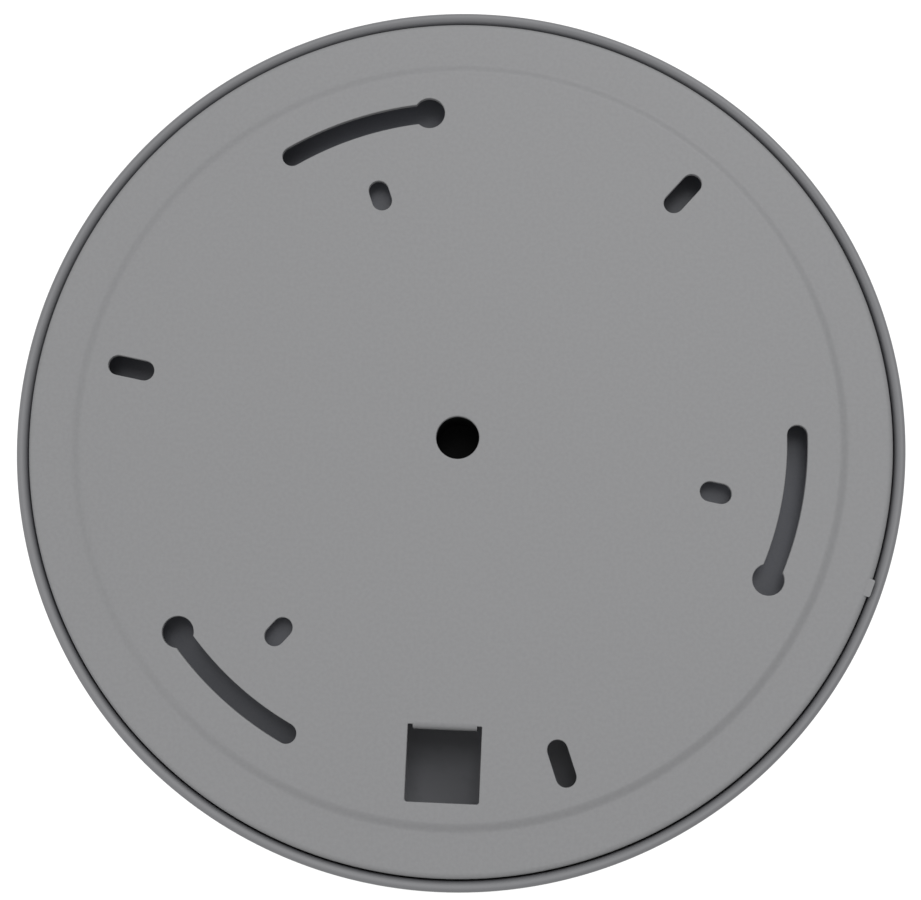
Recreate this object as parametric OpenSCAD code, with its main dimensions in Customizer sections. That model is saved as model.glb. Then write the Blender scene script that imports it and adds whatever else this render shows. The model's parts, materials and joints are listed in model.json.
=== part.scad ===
// Ceiling access point: a round body that twists onto a pressed-steel ceiling plate.
// Millimetres. +Z points at the ceiling, and the origin is the centre of the plate's ceiling-side face.
// Angles are counted from +X towards +Y, so the cable cut-out lies at 270 degrees.

/* [Ceiling plate] */
// Outer diameter of the plate
plate_d = 195.2; // [190:0.2:200]
// Thickness of the sheet steel
plate_t = 1.2; // [1:0.1:1.4]
// Diameter of the soft step between the raised middle and the outer band
joggle_d = 173.2; // [170:0.2:176]
// Height of that step
joggle_h = 0.8; // [0.4:0.1:1]
// Depth of the skirt below the ceiling face
skirt_h = 9; // [8.6:0.1:9.2]

/* [Fixing holes] */
// Pitch circle of the keyholes and the outer slots
fix_pcd = 152.2; // [146:0.2:156]
// Pitch circle of the inner slots
inner_pcd = 118.1; // [112:0.1:120]
// Width of the keyhole arcs and the slots
slot_w = 4.55; // [4.2:0.05:5.2]
// Diameter of the keyholes' round ends
keyhole_d = 7.1; // [6.4:0.1:8]
// Angle from a keyhole's round end to its narrow end
keyhole_sweep = 25.2; // [18:0.2:28]
// Length of the outer slots
outer_slot_l = 10.7; // [8:0.1:12]
// Length of the inner slots
inner_slot_l = 7.1; // [6:0.1:9]
// Diameter of the centre hole
centre_hole_d = 9.7; // [8:0.1:10]

/* [Cable cut-out] */
// Width of the cut-out
cable_w = 16.4; // [15:0.1:18]
// Length of the cut-out towards the centre
cable_l = 16; // [15:0.1:17]
// Distance of its middle from the plate's centre
cable_r = 73.2; // [72:0.1:74]
// Length of the folded tab below the ceiling face
tab_h = 7; // [4:0.5:9]

/* [Body] */
// Gap between the plate and the housing's rim
rim_gap = 0.4; // [0.3:0.05:0.6]
// Width of the rim outside the gap
rim_w = 2.5; // [1.8:0.1:3]
// Height of the whole object
body_h = 38; // [37:0.5:42]
// Wall thickness of the housing and the cover
wall = 2; // [1.6:0.1:2.2]

/* [Motion] */
// Angle of each bayonet lug
lug_sweep = 16; // [14:0.5:17]
// Travel of the reset button
reset_travel = 0.5; // [0.3:0.1:0.6]

/* [Hidden] */
$fn = 128;
e = 0.01; // a cut's overrun past the face it leaves

plate_r = plate_d / 2;
rim_in_r = plate_r + rim_gap;
body_r = rim_in_r + rim_w;
fix_r = fix_pcd / 2;
inner_r = inner_pcd / 2;

// Plate
edge_r = 1.5; // outer radius of the rolled edge
joggle_w = 2.4; // radial width of the soft step
keyhole_start = 97.4; // angle of the first keyhole's round end
outer_slot_start = 50;
inner_slot_start = 110;
cable_corner_r = 0.6;
relief_w = 1.1; // bend relief beside the folded tab
relief_h = 0.95;
tie_slot = [6, 2.4]; // the tab's slot for a cable tie
ear_angle = 342; // index ear that bridges the gap to the rim
ear_w = 4;
ear_t = 0.45;

// Bayonet
lug_start = 20; // angle of the first lug
lug_lead = 0.5; // degrees by which a plate lug starts before the housing's lug
lug_t = 1.2;
lug_rise = 0.1; // how far a plate lug sits above the skirt's end
plate_lug_in_r = plate_r - 4.4;
ring_r = [plate_r - 7, plate_r - 5.2]; // the housing's ring, inner and outer
house_lug_r = plate_r - 2;
house_lug_z = [-7.4, -5.4];
stop_gap = 0.4; // degrees between a seated lug and its stop
stop_sweep = 1.6;
stop_inset = 0.2; // ledge around the foot of a stop

// Housing levels
rim_top = -1.6;
tray_r = 66; // the raised middle of the housing
tray_z = -5.2;
channel_z = -9.4;
gutter_z = -10;
floor_z = -12; // underside of the channel
ring_z = -4.2;
part_z = -15; // where the housing meets the cover
well_r = 6.7;
well_z = -16;

// Cable bay
bay_x = [-18, 39];
bay_y = -31; // its inner wall
bay_r = 86; // its outer wall
bay_z = -24.8;

// Cover screws
cover_screw_r = 79;
cover_screw_angles = [25, 145, 205, 325];
screw_r = 1.5;
screw_head = [2.8, 2]; // radius and height
screw_pilot_r = 1.55;
boss_r = 4.2;

// Cover
cover_power_r = 6; // the dome's outline is |r|^a + |h|^b = 1
cover_power_h = 2.5;
light_pos = [0, 52];
light_size = [12, 3];

// Board
board_r = 72;
board_top = -24;
board_t = 1.6;
board_bottom = board_top - board_t;
board_screw_at = [[-56, 26], [56, 26], [-50, -34], [54, -16]];
board_screw_r = 1.25;
notch_gap = 0.8;

// Heat sink and what lies under it
sink_at = [-18, 30];
sink_size = [44, 36, 2];
sink_base_z = -22.1; // underside of its base
sink_top = -10;
fin_count = 9;
fin_t = 1.2;
sink_screw_at = [[-37, 15], [1, 45]];
chip_size = [17, 17, 1.4];
memory_size = [9, 13, 1.1];
memory_dx = 16;

// Network jack
jack_w = 16;
jack_l = 21.3;
jack_h = 13.4;
jack_skin = 0.3;
port_w = 12;
port_z = [-22.5, -14.9];
port_depth = 14;
key_w = 6.4;
key_top = -12.2;
contact_count = 8;
contact_pitch = 1.02;

// Reset button
reset_at = [24, -19]; // x and z
reset_r = 2;
reset_hole_r = 2.35;

// ---- shapes that repeat ----

module ring3(start) {
    for (i = [0:2]) rotate(start + i * 120) children();
}

module stadium(length, width) {
    square([length - width, width], center = true);
    for (s = [-1, 1]) translate([s * (length - width) / 2, 0]) circle(d = width);
}

module rounded_rect(size, r) {
    square([size[0] - 2 * r, size[1]], center = true);
    square([size[0], size[1] - 2 * r], center = true);
    for (x = [-1, 1], y = [-1, 1]) translate([x * (size[0] / 2 - r), y * (size[1] / 2 - r)]) circle(r);
}

module block(x, y, z) {
    translate([x[0], y[0], z[0]]) cube([x[1] - x[0], y[1] - y[0], z[1] - z[0]]);
}

module sector(sweep, r, z) {
    rotate_extrude(angle = sweep) translate([r[0], z[0]]) square([r[1] - r[0], z[1] - z[0]]);
}

module pan_screw(r, head, length) {
    difference() {
        cylinder(r = head[0], h = head[1]);
        translate([0, 0, head[1] - 1.2]) cylinder(r = r * 0.75, h = 2, $fn = 6);
    }
    translate([0, 0, -length]) cylinder(r = r, h = length + e);
}

// Points of an arc in the r-z plane
function arc_points(c, r, from, to, steps) =
    [for (i = [0:steps]) let (a = from + (to - from) * i / steps) [c[0] + r * cos(a), c[1] + r * sin(a)]];

// ---- ceiling plate ----

// The soft step: height falls by joggle_h over joggle_w
function joggle_points(top) =
    [for (i = [0:8]) let (t = i / 8) [joggle_d / 2 + joggle_w * (t - 0.5), top - joggle_h * t * t * (3 - 2 * t)]];

function reversed(list) = [for (i = [len(list) - 1:-1:0]) list[i]];

module plate_section() {
    band_z = -joggle_h;
    corner = [plate_r - edge_r, band_z - edge_r];
    polygon(concat(
        [[0, 0]],
        joggle_points(0),
        arc_points(corner, edge_r, 90, 0, 8),
        [[plate_r, -skirt_h], [plate_r - plate_t, -skirt_h]],
        arc_points(corner, edge_r - plate_t, 0, 90, 6),
        reversed(joggle_points(-plate_t)),
        [[0, -plate_t]]
    ));
}

module keyhole_arc() {
    rotate_extrude(angle = keyhole_sweep) translate([fix_r - slot_w / 2, -plate_t - 1]) square([slot_w, plate_t + 2]);
    translate([fix_r, 0, -plate_t - 1]) cylinder(d = keyhole_d, h = plate_t + 2);
    // a hair wider than the arc, so that their edges cross instead of touching
    rotate(keyhole_sweep) translate([fix_r, 0, -plate_t - 1]) cylinder(d = slot_w + 2 * e, h = plate_t + 2);
}

module radial_slot(r, length) {
    translate([r, 0, -plate_t - 1]) linear_extrude(plate_t + 2) stadium(length, slot_w);
}

module cable_cut() {
    top = cable_l / 2;
    translate([0, -cable_r, -plate_t - 1]) linear_extrude(plate_t + 2) {
        rounded_rect([cable_w, cable_l], cable_corner_r);
        translate([-cable_w / 2, 0]) square([cable_w, top]);
        for (s = [-1, 1]) translate([s * (cable_w - relief_w) / 2 - relief_w / 2, 0]) square([relief_w, top + relief_h]);
    }
}

// The sheet from the cut-out, folded down along its inner edge
module folded_tab() {
    tab_w = cable_w - 2 * relief_w;
    y = -cable_r + cable_l / 2;
    difference() {
        block([-tab_w / 2, tab_w / 2], [y, y + plate_t], [-tab_h, -plate_t + e]);
        translate([0, y - e, -(tab_h + plate_t) / 2]) rotate([-90, 0, 0]) linear_extrude(plate_t + 2 * e)
            stadium(tie_slot[0], tie_slot[1]);
    }
}

module mounting_plate() {
    color([0.56, 0.565, 0.57]) {
        difference() {
            rotate_extrude() plate_section();
            ring3(keyhole_start) keyhole_arc();
            ring3(outer_slot_start) radial_slot(fix_r, outer_slot_l);
            ring3(inner_slot_start) radial_slot(inner_r, inner_slot_l);
            cable_cut();
            translate([0, 0, -plate_t - 1]) cylinder(d = centre_hole_d, h = plate_t + 2);
        }
        folded_tab();
        ring3(lug_start) {
            low = lug_rise - skirt_h;
            outer = plate_r - plate_t / 2;
            rotate(-lug_lead) sector(lug_lead + lug_sweep + stop_gap + stop_sweep + stop_inset,
                [plate_lug_in_r, outer], [low, low + lug_t]);
            rotate(lug_sweep + stop_gap) sector(stop_sweep, [plate_lug_in_r + stop_inset, outer - stop_inset],
                [low + lug_t / 2, house_lug_z[1]]);
        }
        rotate(ear_angle) translate([plate_r - 2.4, -ear_w / 2, -joggle_h - ear_t - 0.05]) cube([2.9, ear_w, ear_t]);
    }
}

// ---- housing ----

module housing_section() {
    rim_round = 0.5;
    rim_fillet = rim_w - rim_round;
    low_r = body_r - 0.8;
    polygon(concat(
        [[well_r, tray_z], [tray_r, tray_z], [tray_r + 0.8, channel_z], [ring_r[0], channel_z], [ring_r[0], ring_z],
         [ring_r[1], ring_z], [ring_r[1], gutter_z], [rim_in_r, gutter_z]],
        arc_points([rim_in_r + rim_round, rim_top - rim_round], rim_round, 180, 90, 5),
        arc_points([body_r - rim_fillet, rim_top - rim_fillet], rim_fillet, 90, 0, 8),
        [[body_r, -7], [low_r, part_z], [low_r - wall, part_z], [low_r - wall, floor_z], [tray_r - wall, floor_z],
         [tray_r - wall, tray_z - wall], [well_r + 1.5, tray_z - wall], [well_r + 1.5, well_z - 1.5],
         [0, well_z - 1.5], [0, well_z], [well_r, well_z]]
    ));
}

module bay_plan(grow) {
    intersection() {
        translate([bay_x[0] - grow, -bay_r - 10]) square([bay_x[1] - bay_x[0] + 2 * grow, bay_r + 10 + bay_y + grow]);
        circle(bay_r + grow);
    }
}

module vent_bank(side) {
    vent_w = 2.2;
    vent_l = 24;
    vent_pitch = 4;
    for (i = [0:6]) translate([side * 38, 10 + i * vent_pitch, tray_z - wall - e]) linear_extrude(wall + 2 * e)
        stadium(vent_l, vent_w);
}

module rear_housing() {
    color([0.38, 0.385, 0.4]) difference() {
        union() {
            rotate_extrude() housing_section();
            translate([0, 0, bay_z - wall]) linear_extrude(channel_z - 0.4 - bay_z + wall) bay_plan(wall);
            translate([0, 0, floor_z]) linear_extrude(tray_z - 0.4 - floor_z) intersection() {
                bay_plan(wall);
                circle(tray_r);
            }
            ring3(lug_start) sector(lug_sweep, [ring_r[1] - 0.4, house_lug_r], house_lug_z);
            for (a = cover_screw_angles) rotate(a) translate([cover_screw_r, 0, part_z - 1])
                cylinder(r = boss_r + 0.4, h = floor_z - part_z + 1.4);
            for (p = board_screw_at) translate([p[0], p[1], board_top]) cylinder(r = 3.5, h = tray_z - board_top - 1);
        }
        translate([0, 0, bay_z]) linear_extrude(30) bay_plan(0);
        // window of the network jack and hole of the reset button
        block([-jack_w / 2 - 0.3, jack_w / 2 + 0.3], [bay_y - 1, bay_y + wall + 1],
            [board_top - 0.3, board_top + jack_h + 0.3]);
        translate([reset_at[0], bay_y - 1, reset_at[1]]) rotate([-90, 0, 0]) cylinder(r = reset_hole_r, h = wall + 2);
        for (a = cover_screw_angles) rotate(a) translate([cover_screw_r, 0, 0]) {
            translate([0, 0, -30]) cylinder(r = screw_r + 0.2, h = 30);
            translate([0, 0, floor_z - 0.6]) cylinder(r = screw_head[0] + 0.4, h = 20);
        }
        for (p = board_screw_at) translate([p[0], p[1], board_top - e]) cylinder(r = board_screw_r + 0.05, h = 9);
        for (side = [-1, 1]) vent_bank(side);
    }
}

// The dome's outline as a superellipse from the parting line to its lowest point
function dome_points(r, h, base) =
    [for (i = [0:30]) let (a = i * 3) [r * pow(cos(a), 2 / cover_power_r), base - h * pow(sin(a), 2 / cover_power_h)]];

module light_stadium(grow, z, h) {
    translate([light_pos[0], light_pos[1], z]) linear_extrude(h)
        stadium(light_size[0] + 2 * grow, light_size[1] + 2 * grow);
}

module front_cover() {
    cover_r = body_r - 0.8;
    lip = [cover_r - wall - 1.8, cover_r - wall - 0.2];
    lip_top = floor_z - 1.4;
    inner_h = body_h + part_z - wall;
    color([0.9, 0.9, 0.88]) difference() {
        union() {
            rotate_extrude() polygon(concat(
                [[lip[0], part_z], [lip[0], lip_top], [lip[1], lip_top], [lip[1], part_z]],
                dome_points(cover_r, body_h + part_z, part_z),
                reversed(dome_points(cover_r - wall - 0.2, inner_h, part_z - 0.2))
            ));
            for (a = cover_screw_angles) rotate(a) translate([cover_screw_r, 0, -34])
                cylinder(r = boss_r, h = part_z - 1.2 + 34);
        }
        for (a = cover_screw_angles) rotate(a) translate([cover_screw_r, 0, -31]) cylinder(r = screw_pilot_r, h = 20);
        light_stadium(0.15, -body_h - 1, 8);
    }
}

module cover_seal() {
    seal_r = 0.7;
    color([0.1, 0.1, 0.1]) rotate_extrude() translate([body_r - 3.8, floor_z - seal_r]) circle(seal_r, $fn = 32);
}

module cover_screws() {
    color([0.7, 0.7, 0.72]) for (a = cover_screw_angles) rotate(a) translate([cover_screw_r, 0, floor_z - 0.6])
        pan_screw(screw_r, screw_head, 14);
}

module status_light_pipe() {
    stem = [4, 3];
    color([0.85, 0.92, 0.95]) {
        light_stadium(0, -body_h + 0.35, 3);
        light_stadium(1, -body_h + 3.3, 1.2);
        translate([light_pos[0] - stem[0] / 2, light_pos[1] - stem[1] / 2, -body_h + 4.4])
            cube([stem[0], stem[1], body_h - 4.4 - 27]);
    }
}

module centre_buffer() {
    bore_r = 5.4;
    color([0.05, 0.05, 0.05]) rotate_extrude() polygon([
        [0, well_z + 1], [bore_r, well_z + 1], [bore_r, -2.1], [bore_r + 0.5, -1.6], [9.2, -1.6], [9.6, -2],
        [9.6, tray_z], [well_r - 0.1, tray_z], [well_r - 0.1, well_z], [0, well_z]
    ]);
}

module rating_label() {
    color([0.8, 0.8, 0.8]) translate([0, 35, tray_z]) linear_extrude(0.15) rounded_rect([22, 20], 2);
}

// ---- board and its parts ----

module main_board() {
    color([0.1, 0.32, 0.2]) difference() {
        translate([0, 0, board_bottom]) cylinder(r = board_r, h = board_t);
        block([bay_x[0] - wall - notch_gap, bay_x[1] + wall + notch_gap], [-board_r - 1, bay_y + wall + notch_gap],
            [board_bottom - 1, board_top + 1]);
        for (p = concat(board_screw_at, sink_screw_at)) translate([p[0], p[1], board_bottom - 1])
            cylinder(r = board_screw_r + 0.2, h = board_t + 2);
    }
}

module board_screws() {
    color([0.7, 0.7, 0.72]) for (p = board_screw_at) translate([p[0], p[1], board_bottom]) mirror([0, 0, 1])
        pan_screw(board_screw_r, [2.5, 1.7], 7);
}

module chip(at, size, z) {
    translate([at[0], at[1], z]) linear_extrude(size[2]) square([size[0], size[1]], center = true);
}

module processor() {
    color([0.12, 0.12, 0.13]) chip(sink_at, chip_size, board_top);
}

module memory_chip(side) {
    color([0.12, 0.12, 0.13]) chip([sink_at[0] + side * memory_dx, sink_at[1]], memory_size, board_top);
}

module thermal_pad() {
    color([0.5, 0.6, 0.75]) chip(sink_at, [chip_size[0], chip_size[1], sink_base_z - board_top - chip_size[2]],
        board_top + chip_size[2]);
}

module heat_sink() {
    pitch = (sink_size[1] - fin_t) / (fin_count - 1);
    color([0.75, 0.75, 0.77]) difference() {
        union() {
            chip(sink_at, sink_size, sink_base_z);
            for (i = [0:fin_count - 1])
                translate([sink_at[0] - sink_size[0] / 2, sink_at[1] - sink_size[1] / 2 + i * pitch, sink_base_z + 1])
                    cube([sink_size[0], fin_t, sink_top - sink_base_z - 1]);
            for (p = sink_screw_at) translate([p[0], p[1], board_top]) cylinder(r = 2.6, h = sink_base_z - board_top + 1);
        }
        for (p = sink_screw_at) translate([p[0], p[1], 0]) {
            translate([0, 0, sink_base_z + sink_size[2]]) cylinder(r = 3.4, h = 20);
            translate([0, 0, board_top - 1]) cylinder(r = board_screw_r + 0.05, h = 20);
        }
    }
}

module heat_sink_screws() {
    color([0.7, 0.7, 0.72]) for (p = sink_screw_at) translate([p[0], p[1], sink_base_z + sink_size[2]])
        pan_screw(board_screw_r, [2.5, 1.7], 5.2);
}

// A stamped can over a radio, on the board's room side
module radio_shield(at, size) {
    skin = 0.3;
    color([0.78, 0.78, 0.8]) translate([at[0], at[1], board_bottom - size[2]]) difference() {
        linear_extrude(size[2]) rounded_rect([size[0], size[1]], 1);
        translate([0, 0, skin]) linear_extrude(size[2]) rounded_rect([size[0] - 2 * skin, size[1] - 2 * skin], 0.8);
        for (i = [-2:2], j = [-1:1]) translate([i * 5, j * 7, -1]) cylinder(r = 0.7, h = 2);
    }
}

// A stamped inverted-F antenna: a strip over the board on two legs
module stamped_antenna(angle, length) {
    height = 5;
    strip_w = 6;
    sheet = 0.5;
    color([0.8, 0.68, 0.35]) rotate(angle) translate([64, 0, board_bottom]) mirror([0, 0, 1]) {
        difference() {
            translate([-strip_w / 2, -length / 2, height - sheet]) cube([strip_w, length, sheet]);
            translate([-1, -length / 2 + 4, height - 2]) cube([1.6, length - 7, 4]);
        }
        for (y = [-length / 2, -length / 2 + 6]) translate([-strip_w / 2, y, 0]) cube([sheet, 2, height]);
        translate([strip_w / 2 - sheet, length / 2 - 2, 0]) cube([sheet, 2, height]);
    }
}

module bluetooth_antenna() {
    color([0.85, 0.85, 0.8]) rotate(325) translate([65, 0, board_bottom - 1.2]) linear_extrude(1.2)
        square([2, 7], center = true);
}

module jack_shell() {
    z = [board_top, board_top + jack_h];
    color([0.8, 0.8, 0.82]) difference() {
        block([-jack_w / 2, jack_w / 2], [bay_y, bay_y + jack_l], z);
        block([-jack_w / 2 + jack_skin, jack_w / 2 - jack_skin], [bay_y + jack_skin, bay_y + jack_l - jack_skin],
            [z[0] - 1, z[1] - jack_skin]);
        block([-port_w / 2 - 0.3, port_w / 2 + 0.3], [bay_y - 1, bay_y + 1], [port_z[0] - 0.3, port_z[1] + 0.3]);
        block([-key_w / 2 - 0.3, key_w / 2 + 0.3], [bay_y - 1, bay_y + 1], [port_z[0], key_top + 0.3]);
    }
}

module jack_insert() {
    front = bay_y + jack_skin;
    side = jack_w / 2 - jack_skin;
    color([0.1, 0.1, 0.11]) difference() {
        block([-side, side], [front, bay_y + jack_l - jack_skin], [board_top, board_top + jack_h - jack_skin]);
        block([-port_w / 2, port_w / 2], [front - 1, front + port_depth], port_z);
        block([-key_w / 2, key_w / 2], [front - 1, front + port_depth], [port_z[0], key_top]);
    }
}

module jack_contacts() {
    wire = 0.45;
    y = bay_y + 4;
    z = port_z[0];
    color([0.85, 0.7, 0.3]) for (i = [0:contact_count - 1])
        translate([(i - (contact_count - 1) / 2) * contact_pitch + wire / 2, 0, 0]) rotate([0, -90, 0])
            linear_extrude(wire) polygon([
                [z, y], [z + 0.35, y - 0.3], [z + 2.5, y + 9], [z + 2.5, y + 10.3 - e], [z + 2.15, y + 10.3 - e],
                [z + 2.15, y + 9.1], [z + 0.1, y + 0.6]
            ]);
}

module lan_transformer() {
    color([0.14, 0.14, 0.15]) chip([-22, -16], [16, 12, 6], board_top);
}

module power_transformer() {
    at = [26, -4];
    color([0.25, 0.25, 0.27]) {
        chip(at, [18, 16, 2], board_top);
        chip(at, [11, 15, 9.5], board_top + 1.5);
        for (s = [-1, 1]) chip([at[0] + s * 7, at[1]], [3.6, 12, 9.5], board_top + 1.5);
    }
}

module power_capacitor(at) {
    color([0.6, 0.6, 0.65]) translate([at[0], at[1], board_top]) {
        cylinder(r = 5, h = 12.4);
        cylinder(r = 4.4, h = 13);
    }
}

module status_led() {
    color([0.95, 0.95, 0.85]) chip(light_pos, [3.5, 2.8, 0.9], board_bottom - 0.9);
}

module reset_switch() {
    case = 5.5;
    front = bay_y + 5.2;
    color([0.15, 0.15, 0.16]) difference() {
        block([reset_at[0] - case / 2, reset_at[0] + case / 2], [front, front + 3.5],
            [board_top, reset_at[1] + case / 2]);
        translate([reset_at[0], front - 1, reset_at[1]]) rotate([-90, 0, 0]) cylinder(r = 1.2, h = 3.4);
    }
}

module reset_button() {
    back = bay_y + wall + 0.4;
    color([0.08, 0.08, 0.08]) translate([reset_at[0], 0, reset_at[1]]) rotate([-90, 0, 0]) {
        translate([0, 0, bay_y - 0.6]) cylinder(r = reset_r, h = back - bay_y + 0.7);
        translate([0, 0, back]) cylinder(r = 2.9, h = 0.8);
        translate([0, 0, back + 0.7]) cylinder(r = 1.25, h = 1.1);
    }
}

module reset_plunger() {
    color([0.75, 0.7, 0.55]) translate([reset_at[0], bay_y + wall + 2.2, reset_at[1]]) rotate([-90, 0, 0])
        cylinder(r = 0.9, h = 2.4 - reset_travel + 0.4);
}

mounting_plate();
rear_housing();
front_cover();
cover_seal();
cover_screws();
status_light_pipe();
centre_buffer();
rating_label();
main_board();
board_screws();
processor();
memory_chip(-1);  // memory_chip_1
memory_chip(1);  // memory_chip_2
thermal_pad();
heat_sink();
heat_sink_screws();
radio_shield([-30, -6], [34, 30, 3]);  // radio_shield_1
radio_shield([28, 6], [34, 28, 3]);  // radio_shield_2
stamped_antenna(0, 26);  // antenna_low_1
stamped_antenna(90, 26);  // antenna_low_2
stamped_antenna(180, 26);  // antenna_low_3
stamped_antenna(55, 14);  // antenna_high_1
stamped_antenna(125, 14);  // antenna_high_2
stamped_antenna(235, 14);  // antenna_high_3
bluetooth_antenna();
jack_shell();
jack_insert();
jack_contacts();
lan_transformer();
power_transformer();
power_capacitor([47, -2]);  // power_capacitor_1
power_capacitor([44, 12]);  // power_capacitor_2
status_led();
reset_switch();
reset_button();
reset_plunger();
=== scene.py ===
import json
import math

import bmesh
import bpy
from mathutils import Matrix, Vector


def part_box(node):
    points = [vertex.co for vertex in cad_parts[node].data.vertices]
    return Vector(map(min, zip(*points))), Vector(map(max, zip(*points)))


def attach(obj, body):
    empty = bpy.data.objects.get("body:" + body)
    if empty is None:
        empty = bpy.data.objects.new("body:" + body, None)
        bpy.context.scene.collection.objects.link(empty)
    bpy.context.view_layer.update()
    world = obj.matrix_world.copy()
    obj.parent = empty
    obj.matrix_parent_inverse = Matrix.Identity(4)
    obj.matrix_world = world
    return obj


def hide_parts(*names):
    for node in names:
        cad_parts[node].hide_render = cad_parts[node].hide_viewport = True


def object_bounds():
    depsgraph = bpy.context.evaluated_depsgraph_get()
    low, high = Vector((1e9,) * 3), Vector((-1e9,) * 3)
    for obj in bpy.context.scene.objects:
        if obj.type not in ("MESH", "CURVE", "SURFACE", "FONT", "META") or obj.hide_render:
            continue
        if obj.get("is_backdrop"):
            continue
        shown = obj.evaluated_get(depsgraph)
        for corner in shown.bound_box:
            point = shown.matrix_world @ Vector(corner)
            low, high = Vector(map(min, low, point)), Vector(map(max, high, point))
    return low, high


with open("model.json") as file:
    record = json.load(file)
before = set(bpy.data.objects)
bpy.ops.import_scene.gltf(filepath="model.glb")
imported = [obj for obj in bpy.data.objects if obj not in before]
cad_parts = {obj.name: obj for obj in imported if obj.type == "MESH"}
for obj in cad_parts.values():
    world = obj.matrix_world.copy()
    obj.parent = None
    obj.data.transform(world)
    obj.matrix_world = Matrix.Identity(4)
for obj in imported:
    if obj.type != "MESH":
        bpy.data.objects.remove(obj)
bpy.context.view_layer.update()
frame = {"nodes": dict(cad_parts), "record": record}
print("frame loaded:", len(frame["nodes"]), "nodes")

mm = 0.001


# shapes, all in metres and in the frame's axes
def polar(radius, degrees):
    a = math.radians(degrees)
    return (radius * math.cos(a), radius * math.sin(a))


def arc(centre, radius, start, end, steps):
    # points of an arc in any plane, both ends included
    found = []
    for i in range(steps + 1):
        x, y = polar(radius, start + (end - start) * i / steps)
        found.append((centre[0] + x, centre[1] + y))
    return found


def circle(centre, radius, count):
    return arc(centre, radius, 0, 360 * (count - 1) / count, count - 1)


def moved(points, at):
    return [(x + at[0], y + at[1]) for x, y in points]


def turned(points, degrees, at=(0, 0)):
    # an outline turned about the origin after a move
    c, s = polar(1, degrees)
    return [(x * c - y * s, x * s + y * c) for x, y in moved(points, at)]


def stadium(length, width, steps=12):
    half = (length - width) / 2
    return arc((half, 0), width / 2, -90, 90, steps) + arc((-half, 0), width / 2, 90, 270, steps)


def roundedRect(wide, tall, radius, steps=5):
    found = []
    for sx, sy, start in ((1, 1, 0), (-1, 1, 90), (-1, -1, 180), (1, -1, 270)):
        found += arc((sx * (wide / 2 - radius), sy * (tall / 2 - radius)), radius, start, start + 90, steps)
    return found


def newObject(name, data):
    made = bpy.data.objects.new(name, data)
    bpy.context.scene.collection.objects.link(made)
    return made


def meshObject(name, bm):
    mesh = bpy.data.meshes.new(name)
    bm.to_mesh(mesh)
    bm.free()
    return newObject(name, mesh)


def closeMesh(name, bm):
    # vertices that coincide are merged, and the faces turned outwards
    bmesh.ops.remove_doubles(bm, verts=bm.verts, dist=0.002 * mm)
    bmesh.ops.recalc_face_normals(bm, faces=bm.faces)
    return meshObject(name, bm)


def lathe(name, section, steps):
    # turns a closed (radius, height) section about Z; points on the axis become one vertex
    bm = bmesh.new()
    rings = []
    for r, z in section:
        if r < 1e-7:
            rings.append([bm.verts.new((0, 0, z))] * steps)
        else:
            rings.append([bm.verts.new((*polar(r, 360 * i / steps), z)) for i in range(steps)])
    for a, b in zip(rings, rings[1:] + rings[:1]):
        for i in range(steps):
            j = (i + 1) % steps
            corners = list(dict.fromkeys([a[i], a[j], b[j], b[i]]))
            if len(corners) > 2:
                bm.faces.new(corners)
    return closeMesh(name, bm)


def loft(name, rings):
    # a closed solid through rings of equal count, each a list of 3-D points
    bm = bmesh.new()
    made = [[bm.verts.new(p) for p in ring] for ring in rings]
    for a, b in zip(made, made[1:]):
        for i in range(len(a)):
            j = (i + 1) % len(a)
            bm.faces.new((a[i], a[j], b[j], b[i]))
    bm.faces.new(made[0])
    bm.faces.new(made[-1])
    return closeMesh(name, bm)


def prism(name, outline, low, high):
    return loft(name, [[(x, y, z) for x, y in outline] for z in (low, high)])


def punch(name, outlineAt, low, high, edge, steps=4):
    # a cutter whose upper end flares over the rounded edge of the hole that it leaves
    levels = [(0, low)]
    for i in range(steps + 1):
        a = math.pi / 2 * i / steps
        levels.append((edge * (1 - math.cos(a)), high - edge + edge * math.sin(a)))
    levels.append((edge, high + 1 * mm))
    return loft(name, [[(x, y, z) for x, y in outlineAt(grow)] for grow, z in levels])


def softBlock(name, outlineAt, low, high, edge):
    # a block with its upper and lower edges eased
    levels = [(-edge, low), (-edge * 0.3, low + edge * 0.3), (0, low + edge),
              (0, high - edge), (-edge * 0.3, high - edge * 0.3), (-edge, high)]
    return loft(name, [[(x, y, z) for x, y in outlineAt(grow)] for grow, z in levels])


def rod(name, axisPoints, radius, steps=20):
    # a straight round bar between two points
    start, end = (Vector(p) for p in axisPoints)
    along = (end - start).normalized()
    side = along.orthogonal().normalized()
    other = along.cross(side)
    rings = []
    for centre in (start, end):
        ring = []
        for i in range(steps):
            x, y = polar(radius, 360 * i / steps)
            ring.append(centre + side * x + other * y)
        rings.append(ring)
    return loft(name, rings)


def bake(obj):
    # modifiers become a plain mesh
    graph = bpy.context.evaluated_depsgraph_get()
    mesh = bpy.data.meshes.new_from_object(obj.evaluated_get(graph), preserve_all_data_layers=True, depsgraph=graph)
    old = obj.data
    obj.modifiers.clear()
    obj.data = mesh
    bpy.data.meshes.remove(old)
    return obj


def combine(obj, tools, operation):
    for tool in tools:
        modifier = obj.modifiers.new("cut", "BOOLEAN")
        modifier.operation = operation
        modifier.solver = "EXACT"
        modifier.object = tool
    bake(obj)
    for tool in tools:
        bpy.data.objects.remove(tool)
    return obj


def outward(obj):
    # faces turned to point out of the solid
    bm = bmesh.new()
    bm.from_mesh(obj.data)
    bmesh.ops.recalc_face_normals(bm, faces=bm.faces)
    bm.to_mesh(obj.data)
    bm.free()
    return obj


def join(name, parts):
    bm = bmesh.new()
    for part in parts:
        bm.from_mesh(part.data)
    for part in parts:
        bpy.data.objects.remove(part)
    return meshObject(name, bm)


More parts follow.
